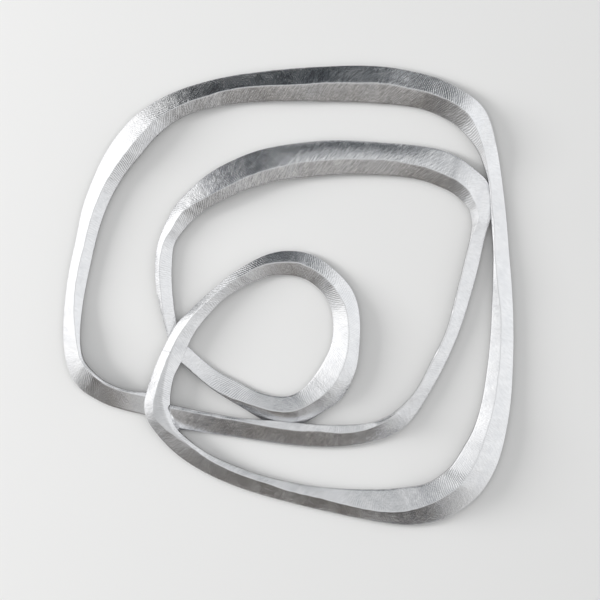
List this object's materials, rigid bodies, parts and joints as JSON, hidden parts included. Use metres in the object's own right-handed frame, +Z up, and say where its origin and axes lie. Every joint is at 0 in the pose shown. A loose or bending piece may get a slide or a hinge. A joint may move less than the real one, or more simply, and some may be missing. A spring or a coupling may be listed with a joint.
{
  "type": "wall sculpture",
  "caption": "Free-form closed loop of ridged, ground aluminium bar that crosses itself twice and hangs flat on a wall from keyhole plates.",
  "frame": {"origin": "on the wall plane, at the outer face of the felt pad behind the top bar, midway between the two keyhole plates", "axes": "+Z up the wall, +X to the right as seen from the front, -Y out of the wall towards the viewer"},
  "size_m": [0.6983, 0.032, 0.7118],
  "materials": {
    "cast_aluminium": "ground by hand with fine chatter marks across the facets, satin, clear coated",
    "weld_aluminium": "welded bead, dull, rippled",
    "zinc_plate": "zinc plated sheet steel",
    "screw_steel": "zinc plated, smooth",
    "felt": "dense black felt"
  },
  "bodies": {
    "root": {"outer_left_bar": "cast_aluminium", "top_bar": "cast_aluminium", "right_bar": "cast_aluminium", "bottom_bar": "cast_aluminium", "small_loop_upper_bar": "cast_aluminium", "small_loop_lower_bar": "cast_aluminium", "middle_left_bar": "cast_aluminium", "middle_top_bar": "cast_aluminium", "middle_right_bar": "cast_aluminium", "middle_bottom_bar": "cast_aluminium", "weld_top_left_butt": "weld_aluminium", "weld_top_right_butt": "weld_aluminium", "weld_bottom_right_butt": "weld_aluminium", "weld_rise_butt": "weld_aluminium", "weld_small_loop_butt": "weld_aluminium", "weld_middle_left_butt": "weld_aluminium", "weld_middle_top_butt": "weld_aluminium", "weld_middle_right_butt": "weld_aluminium", "weld_tip_left_cope": "weld_aluminium", "weld_tip_right_cope": "weld_aluminium", "weld_rise_left_cope": "weld_aluminium", "weld_rise_right_cope": "weld_aluminium", "weld_right_contact": "weld_aluminium", "weld_under_contact": "weld_aluminium", "hanger_plate_left": "zinc_plate", "hanger_plate_right": "zinc_plate", "hanger_screw_left_a": "screw_steel", "hanger_screw_left_b": "screw_steel", "hanger_screw_right_a": "screw_steel", "hanger_screw_right_b": "screw_steel", "felt_pad_top": "felt", "felt_pad_left": "felt", "felt_pad_foot": "felt", "felt_pad_bottom": "felt", "felt_pad_bottom_right": "felt", "felt_pad_right": "felt", "felt_pad_small_loop": "felt"}
  },
  "joints": []
}
